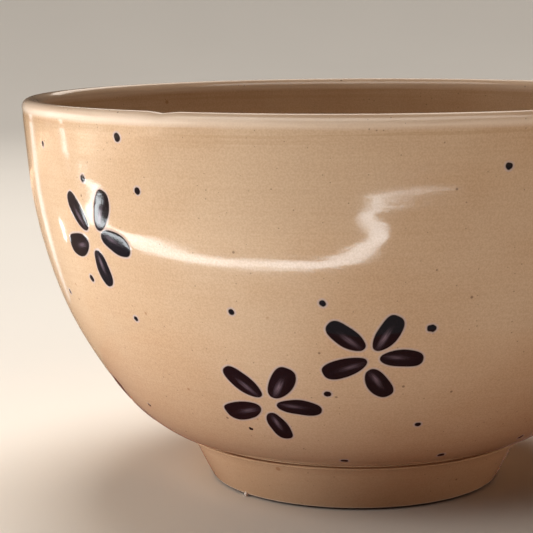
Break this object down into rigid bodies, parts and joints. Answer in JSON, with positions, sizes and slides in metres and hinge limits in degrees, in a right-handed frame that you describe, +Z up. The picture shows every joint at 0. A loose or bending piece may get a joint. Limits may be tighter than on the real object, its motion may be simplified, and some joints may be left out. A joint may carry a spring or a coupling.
{
  "type": "punch bowl",
  "caption": "Hand-thrown stoneware punch bowl on a tapered foot ring, clear glaze over speckled buff clay, painted with dark blue five-petal flowers and dots.",
  "frame": {"origin": "centre of the circle that the foot rests on, at table height", "axes": "+Z up along the bowl's turning axis, -Y towards the front, +X to the right seen from the front"},
  "size_m": [0.28, 0.28, 0.1648],
  "materials": {
    "glazed_stoneware": "clear gloss glaze over fine-speckled buff stoneware, faint throwing lines",
    "glazed_foot": "clear gloss glaze over buff stoneware, thinner than on the wall, wiped bare on the resting band",
    "glazed_slip": "glazed slip, glaze pooled darker in the corner",
    "indigo_brushwork": "dark indigo brushed pigment under clear glaze, paler along the middle of each stroke"
  },
  "bodies": {
    "root": {"bowl_shell": "glazed_stoneware", "foot_ring": "glazed_foot", "slip_bead": "glazed_slip", "flower_1_petal_upper_left": "indigo_brushwork", "flower_1_petal_upper_right": "indigo_brushwork", "flower_1_petal_right": "indigo_brushwork", "flower_1_petal_lower": "indigo_brushwork", "flower_1_petal_left": "indigo_brushwork", "flower_2_petal_upper_left": "indigo_brushwork", "flower_2_petal_upper_right": "indigo_brushwork", "flower_2_petal_right": "indigo_brushwork", "flower_2_petal_lower": "indigo_brushwork", "flower_2_petal_left": "indigo_brushwork", "flower_3_petal_upper_left": "indigo_brushwork", "flower_3_petal_upper_right": "indigo_brushwork", "flower_3_petal_right": "indigo_brushwork", "flower_3_petal_lower": "indigo_brushwork", "flower_3_petal_left": "indigo_brushwork", "flower_4_petal_upper_left": "indigo_brushwork", "flower_4_petal_upper_right": "indigo_brushwork", "flower_4_petal_right": "indigo_brushwork", "flower_4_petal_lower": "indigo_brushwork", "flower_4_petal_left": "indigo_brushwork", "flower_5_petal_upper_left": "indigo_brushwork", "flower_5_petal_upper_right": "indigo_brushwork", "flower_5_petal_right": "indigo_brushwork", "flower_5_petal_lower": "indigo_brushwork", "flower_5_petal_left": "indigo_brushwork", "flower_6_petal_upper_left": "indigo_brushwork", "flower_6_petal_upper_right": "indigo_brushwork", "flower_6_petal_right": "indigo_brushwork", "flower_6_petal_lower": "indigo_brushwork", "flower_6_petal_left": "indigo_brushwork", "flower_7_petal_upper_left": "indigo_brushwork", "flower_7_petal_upper_right": "indigo_brushwork", "flower_7_petal_right": "indigo_brushwork", "flower_7_petal_lower": "indigo_brushwork", "flower_7_petal_left": "indigo_brushwork", "flower_8_petal_upper_left": "indigo_brushwork", "flower_8_petal_upper_right": "indigo_brushwork", "flower_8_petal_right": "indigo_brushwork", "flower_8_petal_lower": "indigo_brushwork", "flower_8_petal_left": "indigo_brushwork", "flower_9_petal_upper_left": "indigo_brushwork", "flower_9_petal_upper_right": "indigo_brushwork", "flower_9_petal_right": "indigo_brushwork", "flower_9_petal_lower": "indigo_brushwork", "flower_9_petal_left": "indigo_brushwork", "flower_10_petal_upper_left": "indigo_brushwork", "flower_10_petal_upper_right": "indigo_brushwork", "flower_10_petal_right": "indigo_brushwork", "flower_10_petal_lower": "indigo_brushwork", "flower_10_petal_left": "indigo_brushwork"}
  },
  "joints": []
}
